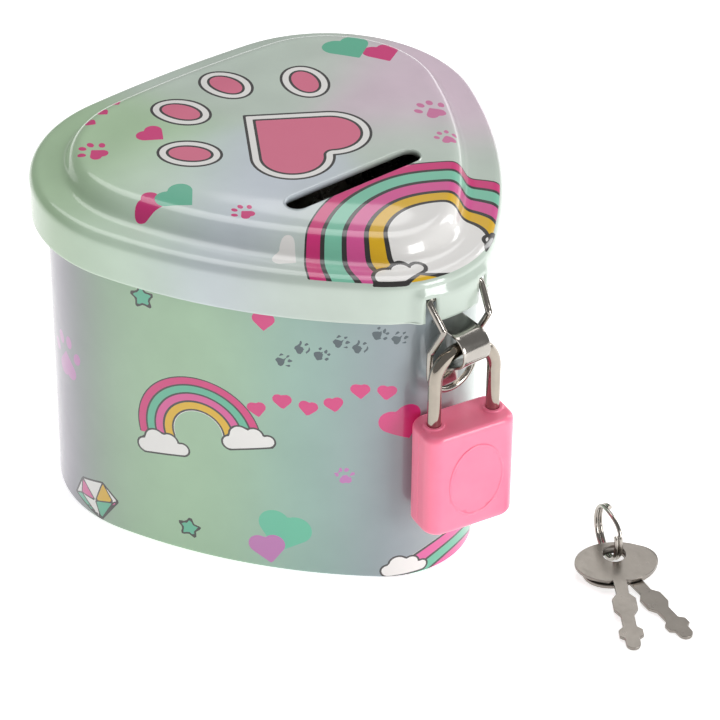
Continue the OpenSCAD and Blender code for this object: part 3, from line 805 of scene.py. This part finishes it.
# %% Its bare inside, half a millimetre in
inside_bm = lid_sheet(200, 24)
inside_bm.normal_update()
moves = [v.normal * -tin_t * MM for v in inside_bm.verts]
for vert, move in zip(inside_bm.verts, moves):
    vert.co += move
bmesh.ops.reverse_faces(inside_bm, faces=inside_bm.faces[:])
piece("lid_inside", inside_bm, "lid", bare_tin, sharp=70)

# %% [markdown]
# ## The hasp
# A strip of nickel-plated steel is bent into an eye on the wall. A wire bail hangs in the
# lid's bridge and drops over the eye, and the padlock's shackle then goes through the eye.

# %% The staple strap, a bent strip
wall_y = -(tip_r - tip_c[1]) - 0.02
nose_y, nose_z, nose_r, strap_t, strap_w = -55.0, 62.9, 3.45, 0.6, 7.1
strap_top, strap_low, tab_h = 67.1, 54.0, 4.9
outer_r = nose_r + strap_t


def tangent(p, side):
    """The angle round the nose at which a straight from p touches it."""
    return heading((nose_y, nose_z), p) + side * math.acos(outer_r / math.hypot(p[0] - nose_y, p[1] - nose_z))


up_a, low_a = tangent((wall_y, strap_top), 1), tangent((wall_y, strap_low), -1) + 2 * math.pi
nose = [(nose_y + outer_r * math.cos(a), nose_z + outer_r * math.sin(a)) for a in np.linspace(low_a, up_a, 40)]
foot = [(wall_y - strap_t, z) for z in np.linspace(strap_low - tab_h, strap_low - 0.8, 8)]
foot += [(wall_y - strap_t - 0.15, strap_low - 0.2), (wall_y - strap_t - 0.5, strap_low + 0.25)]
strip = np.array(foot + nose + [(wall_y, strap_top)])
across = np.linspace(-strap_w / 2, strap_w / 2, 9)
strap_rings = np.array([[(x, y, z) for x in across] for y, z in strip])
strap = piece("staple_eye", rolled(strap_rings, closed=False), "tin_body", nickel_strip,
              ["staple_strap"], sharp=50)
finish_with(strap, "SOLIDIFY", thickness=strap_t * MM, offset=-1)
finish_with(strap, "BEVEL", width=0.14 * MM, segments=2, limit_method="ANGLE", angle_limit=math.radians(50))

# %% The wire bail, a closed loop of drawn wire
bail_r, bail_x, bail_y, bail_z = 0.75, 6.9, -50.8, 75.0
right = [(bail_x - 0.9, bail_y, bail_z), (bail_x - 0.3, bail_y - 0.15, bail_z - 0.3),
         (bail_x, bail_y - 0.7, bail_z - 1), (bail_x - 0.7, -54.7, 69.6), (bail_x - 0.8, -54.9, 68.5),
         (bail_x - 0.8, -51.6, 62.4), (bail_x - 0.8, bail_y - 0.1, 61.2)]
low_turn = [(6.1 * math.cos(a), bail_y, 56 - 6.1 * math.sin(a)) for a in np.linspace(0, math.pi, 9)]
left = [(-x, y, z) for x, y, z in right[::-1]]
bail_line = through(right + low_turn + left + [(0, bail_y, bail_z)], 220, closed=True)
piece("wire_bail", rolled(tube(bail_line, bail_r, closed=True)), "bail", steel_wire, ["bail_wire"])

# %% [markdown]
# ## The padlock
# Two moulded halves of glossy pink ABS are riveted round a small lock. The chromed shackle
# has one short leg that comes free and one long leg that stays in. Each half starts as a
# block, is rounded with bevels, and then has its bores and chambers carved out.

# %% Where the padlock hangs
case_w, case_h, case_t, case_top, yaw = 21.5, 26.0, 10.5, 44.6, math.radians(-10)
rod_r, leg_x, short_leg, long_leg = 1.5, 7.15, 4.7, 16.8
arch_up = 62.9 - leg_x - case_top
hang = Matrix.Translation(Vector((0, nose_y, case_top)) * MM) @ Matrix.Rotation(yaw, 4, "Z")


def carve(obj, cutters):
    """Takes the cutters' space out of a piece for good."""
    mesh = bpy.data.meshes.new("cutter")
    cutters.to_mesh(mesh)
    cutters.free()
    tool = bpy.data.objects.new("cutter", mesh)
    scene.collection.objects.link(tool)
    cut = finish_with(obj, "BOOLEAN", operation="DIFFERENCE", solver="EXACT", use_self=True, object=tool)
    bpy.context.view_layer.update()
    result = bpy.data.meshes.new_from_object(obj.evaluated_get(bpy.context.evaluated_depsgraph_get()))
    obj.modifiers.remove(cut)
    obj.data = result
    bpy.data.objects.remove(tool)
    print(obj.name, "carved,", len(result.polygons), "faces")


def bar(bm, low, high):
    """A block between two corners, in mm."""
    low, high = Vector(low), Vector(high)
    middle = Matrix.Translation((low + high) / 2 * MM) @ Matrix.Diagonal((*((high - low) * MM), 1))
    return bmesh.ops.create_cube(bm, size=1, matrix=middle)["verts"]


def post(bm, middle, r, height, lying=False, sides=48):
    """A round post about its middle, in mm; lying turns it along y."""
    turn = Matrix.Rotation(math.pi / 2, 4, "X") if lying else Matrix.Identity(4)
    place = Matrix.Translation(Vector(middle) * MM) @ turn
    return bmesh.ops.create_cone(bm, cap_ends=True, segments=sides, radius1=r * MM, radius2=r * MM,
                                 depth=height * MM, matrix=place)["verts"]


# %% The shackle
def shackle_line():
    """Places down the rod and the rod's radius at each, from the short leg's end to the long one's."""
    line, radii = [(-leg_x, 0, -short_leg), (-leg_x, 0, -short_leg + 0.4)], [1.1, rod_r]
    line += [(-leg_x, 0, z) for z in np.linspace(-short_leg + 0.6, arch_up, 8)]
    line += [(-leg_x * math.cos(a), 0, arch_up + leg_x * math.sin(a)) for a in np.linspace(0, math.pi, 61)[1:]]
    line += [(leg_x, 0, z) for z in np.linspace(arch_up - 0.5, -7.2, 8)]
    radii += [rod_r] * (len(line) - len(radii))
    line += [(leg_x, 0, z) for z in (-7.7, -7.8, -14.0, -14.1, -16.4, -long_leg)]
    return line, radii + [rod_r, 1.0, 1.0, rod_r, rod_r, 1.1]


shackle_bm = rolled(tube(*shackle_line(), sides=40))
close_ends(shackle_bm)
shackle = piece("shackle_rod", shackle_bm, "shackle", chrome_rod, ["shackle"], sharp=35)
notch = bmesh.new()
bar(notch, (-6.5, -3, -4.25), (-3.5, 3, -1.45))
carve(shackle, notch)
shackle.data.transform(hang)


# %% One half of the case
def half_plan(side, in_x, in_y):
    """The outline of one half from above: round outer corners and a fine parting edge."""
    w, d, r, fine = case_w / 2 - in_x, case_t / 2 - in_y, 3.3 - in_y, 0.12
    outer = [(w - r + r * math.cos(a), d - r + r * math.sin(a)) for a in np.linspace(0, math.pi / 2, 12)]
    plan = [(w - fine, 0), (w - 0.03, fine * 0.4), (w, fine)] + [(w, y) for y in (0.5, 1.2)] + outer
    plan += [(x, d) for x in np.linspace(w - r, 0, 6)[1:]]
    plan = plan + [(-x, y) for x, y in plan[-2::-1]]
    return [(x, y * side) for x, y in plan[::side]]


def case_block(side):
    """Rings from the bottom to the top, drawn in at both ends to round them."""
    turn = [(1 - math.sin(a), 1 - math.cos(a)) for a in np.linspace(0, math.pi / 2, 8)]
    levels = [(i, -case_h + 1.5 * k) for i, k in turn]
    levels += [(0, z) for z in np.linspace(-case_h + 3, -3, 9)] + [(i, -1.5 * k) for i, k in turn[::-1]]
    bm = rolled(np.array([[(x, y, z) for x, y in half_plan(side, 1.9 * i, 1.0 * i)] for i, z in levels]))
    close_ends(bm)
    return bm


def half_collar(bm, x, side):
    """Half of the low collar round a leg of the shackle."""
    ring_bm = bmesh.new()
    bmesh.ops.create_cone(ring_bm, cap_ends=True, segments=48, radius1=2.7 * MM, radius2=2.2 * MM, depth=1.1 * MM,
                          matrix=Matrix.Translation(Vector((x, 0, -0.05)) * MM))
    bmesh.ops.bisect_plane(ring_bm, geom=ring_bm.verts[:] + ring_bm.edges[:] + ring_bm.faces[:],
                           plane_co=(0, 0, 0), plane_no=(0, -side, 0), clear_outer=True)
    close_ends(ring_bm)
    half = bpy.data.meshes.new("collar")
    ring_bm.to_mesh(half)
    bm.from_mesh(half)
    bpy.data.meshes.remove(half)
    ring_bm.free()


def lock_chambers():
    """The space inside the case: leg bores, latch chamber, plug bore, plate seat and pin holes."""
    bm = bmesh.new()
    post(bm, (-leg_x, 0, -1.55), rod_r + 0.15, 7.1)
    post(bm, (leg_x, 0, -9.4), rod_r + 0.15, 22.8)
    bar(bm, (-6.85, -1.4, -2.95), (5.2, 3.8, -1.4))
    post(bm, (0, 0, -15.4), 3.45, 23.1)
    post(bm, (0, 0, -3.5), 3.1, 2)
    bar(bm, (-5.6, -3.6, -27), (5.6, 3.6, -25.2))
    for x, z in ((-7.4, -9), (-7.4, -22.6), (7.4, -23)):
        post(bm, (x, 0, z), 0.8, 8, lying=True, sides=24)
    post(bm, (leg_x - 1.55, 0, -8.4), 0.5, 7, lying=True, sides=24)
    return bm


# %% Both halves, the front one with its raised oval
for side, name in ((-1, "front"), (1, "back")):
    bm = case_block(side)
    for x in (-leg_x, leg_x):
        half_collar(bm, x, side)
    if side < 0:
        oval_line = [(0.6 + 6.4 * math.cos(a), -case_t / 2 + 0.08, -13.4 + 8.9 * math.sin(a))
                     for a in np.arange(96) * 2 * math.pi / 96]
        oval_bm = rolled(tube(oval_line, 0.31, 10, closed=True))
        oval_mesh = bpy.data.meshes.new("oval")
        oval_bm.to_mesh(oval_mesh)
        bm.from_mesh(oval_mesh)
        oval_bm.free()
    half = piece("case_" + name, bm, "lock_case", pink_plastic, ["lock_case_" + name], sharp=50)
    carve(half, lock_chambers())
    half.data.transform(hang)
    finish_with(half, "WEIGHTED_NORMAL", keep_sharp=True, weight=80)

# %% [markdown]
# ## The keys and their ring
# Each key is stamped from strip: an oval bow with a round hole, and a flat shank with two
# lobes. The blank's outline is filled, given its thickness, and its edges are broken as by
# tumbling. The ring is wire wound nearly twice round, stepping over in between.

# %% A key blank
key_hole, key_t, key_reach, key_tip_r, hole_r = (30.5, -72.0), 0.8, 29.4, 1.6, 2.6
bow_w, bow_h, bow_y = 18.3, 12.6, -2.6
lobes = [(1.5, 8.4), (1.4, 12.6), (2.65, 14.2), (2.65, 17.5), (1.5, 19.2), (1.5, 22.8), (2.65, 23.8),
         (2.65, 25.6), (1.6, 26.3), (1.6, key_reach - key_tip_r)]


def key_outline():
    tip = [(key_tip_r * math.cos(a), key_tip_r * math.sin(a) - key_reach + key_tip_r)
           for a in np.linspace(math.pi, 2 * math.pi, 12)[1:-1]]
    bow = [(bow_w / 2 * math.sin(a), bow_y - bow_h / 2 * math.cos(a))
           for a in np.radians(np.linspace(15, 345, 67))]
    return [(-w, -d) for w, d in lobes] + tip + [(w, -d) for w, d in lobes[::-1]] + bow


def loop_of(bm, points):
    """A closed loop of edges through points in mm."""
    verts = [bm.verts.new((x * MM, y * MM, 0)) for x, y in points]
    return [bm.edges.new(pair) for pair in zip(verts, verts[1:] + verts[:1])]


def key_blank():
    bm = bmesh.new()
    hole = [(hole_r * math.cos(a), hole_r * math.sin(a)) for a in np.arange(40) * 2 * math.pi / 40]
    edges = loop_of(bm, key_outline()) + loop_of(bm, hole)
    faces = bmesh.ops.triangle_fill(bm, use_beauty=True, edges=edges, normal=(0, 0, 1))["geom"]
    faces = [f for f in faces if isinstance(f, bmesh.types.BMFace)]
    raised = bmesh.ops.extrude_face_region(bm, geom=faces)["geom"]
    bmesh.ops.translate(bm, verts=[v for v in raised if isinstance(v, bmesh.types.BMVert)], vec=(0, 0, key_t * MM))
    bmesh.ops.recalc_face_normals(bm, faces=bm.faces[:])
    return bm


# %% Two keys lying on the table, bows raised on the ring
for name, direction, lift in (("key_a", 237, 2.6), ("key_b", 262, 1.15)):
    key = piece(name + "_blank", key_blank(), name, key_steel, [name], sharp=40)
    place = (Matrix.Translation(Vector((*key_hole, 0)) * MM) @ Matrix.Rotation(math.radians(direction + 90), 4, "Z")
             @ Matrix.Translation(Vector((0, -key_reach, 0)) * MM)
             @ Matrix.Rotation(math.asin(lift / key_reach), 4, "X")
             @ Matrix.Translation(Vector((0, key_reach, 0.02)) * MM))
    key.data.transform(place)
    finish_with(key, "BEVEL", width=0.13 * MM, segments=2, limit_method="ANGLE", angle_limit=math.radians(50))

# %% The split ring
ring_d, ring_wire, ring_dir = 13.0, 0.95, 250
ring_r = (ring_d - ring_wire) / 2
wound = [(a, (ring_wire + 0.05) * (float(smooth((a - 390) / 70)) - 0.5)) for a in np.linspace(100, 748, 190)]
coil = [(ring_r * math.cos(math.radians(a)), ring_r * math.sin(math.radians(a)), z) for a, z in wound]
ring_bm = rolled(tube(coil, ring_wire / 2, 14))
close_ends(ring_bm)
split_ring = piece("split_ring_wire", ring_bm, "key_ring", steel_wire, ["split_ring"], sharp=60)
split_ring.data.transform(Matrix.Translation(Vector((*key_hole, 0)) * MM)
                          @ Matrix.Rotation(math.radians(ring_dir), 4, "Z")
                          @ Matrix.Translation(Vector((-ring_r + 2.3, 0, ring_d / 2 + 0.02)) * MM)
                          @ Matrix.Rotation(math.pi / 2, 4, "X"))

# %% [markdown]
# ## Parts that keep their shape
# The hinge, the rivets, the seam, the base and the lock's inner parts already have their true
# shape, so they only take a finish.

# %% Finishes of the remaining parts
finishes = {
    "body_seam": bare_tin, "base_panel": bare_tin, "hinge_body_leaf": nickel_strip, "hinge_lid_leaf": nickel_strip,
    "hinge_body_rivets": nickel_strip, "hinge_lid_rivets": nickel_strip, "hinge_pin": steel_wire,
    "case_rivets": steel_wire, "keyhole_plate": nickel_strip, "key_plug": turned_brass, "latch_bolt": nickel_strip,
    "latch_spring": steel_wire, "shackle_spring": steel_wire, "shackle_stop_pin": steel_wire}
for name, material in finishes.items():
    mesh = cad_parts[name].data
    mesh.materials.clear()
    mesh.materials.append(material)
    mesh.shade_smooth()
    mesh.set_sharp_from_angle(angle=math.radians(35))
print("kept as they are:", sorted(finishes))

# %% [markdown]
# ## Table and light
# The table is a sheet of opal acrylic lit from below, so it stays white while the object is
# lit softly from the front. The room is dim, which lets the plated parts show dark and
# bright. Large lamps each leave one long soft reflection in the varnish.

# %% The table
floor_bm = bmesh.new()
bmesh.ops.create_grid(floor_bm, x_segments=2, y_segments=2, size=4.0)
floor_mesh = bpy.data.meshes.new("table")
floor_bm.to_mesh(floor_mesh)
floor_bm.free()
floor = bpy.data.objects.new("table", floor_mesh)
floor.location.z = -0.05 * MM
scene.collection.objects.link(floor)
opal, opal_tree, opal_shader = new_material("opal_acrylic_lit_from_below", {"Roughness": 0.5, "Emission Strength": 0.7})
tone = pattern(opal_tree, "ShaderNodeTexNoise", 80.0)
shade = add(opal_tree, "ShaderNodeMix", {0: tone.outputs[0], 6: linear("#f6f6f6"), 7: linear("#fafafa")},
            data_type="RGBA")
for socket in ("Base Color", "Emission Color"):
    opal_tree.links.new(shade.outputs[2], opal_shader.inputs[socket])
floor_mesh.materials.append(opal)

# %% The room and the lamps
world = bpy.data.worlds.new("room")
world.use_nodes = True
world.node_tree.nodes["Background"].inputs["Color"].default_value = (1, 1, 1, 1)
world.node_tree.nodes["Background"].inputs["Strength"].default_value = 0.24
scene.world = world
scene.view_settings.view_transform = "Standard"


def lamp(name, place, size, watts, aim=(0, 0, 45)):
    """A soft rectangular lamp at a place in mm, aimed at the tin."""
    data = bpy.data.lights.new(name, "AREA")
    data.shape, data.size, data.size_y, data.energy = "RECTANGLE", size[0] * MM, size[1] * MM, watts
    obj = bpy.data.objects.new(name, data)
    obj.location = Vector(place) * MM
    obj.rotation_mode = "QUATERNION"
    obj.rotation_quaternion = (Vector(aim) - Vector(place)).to_track_quat("-Z", "Y")
    scene.collection.objects.link(obj)


lamp("overhead", (100, 260, 640), (620, 520), 2.1)
lamp("front_softbox", (160, -960, 330), (380, 420), 4.2)
lamp("right_strip", (560, -60, 260), (120, 420), 0.8)
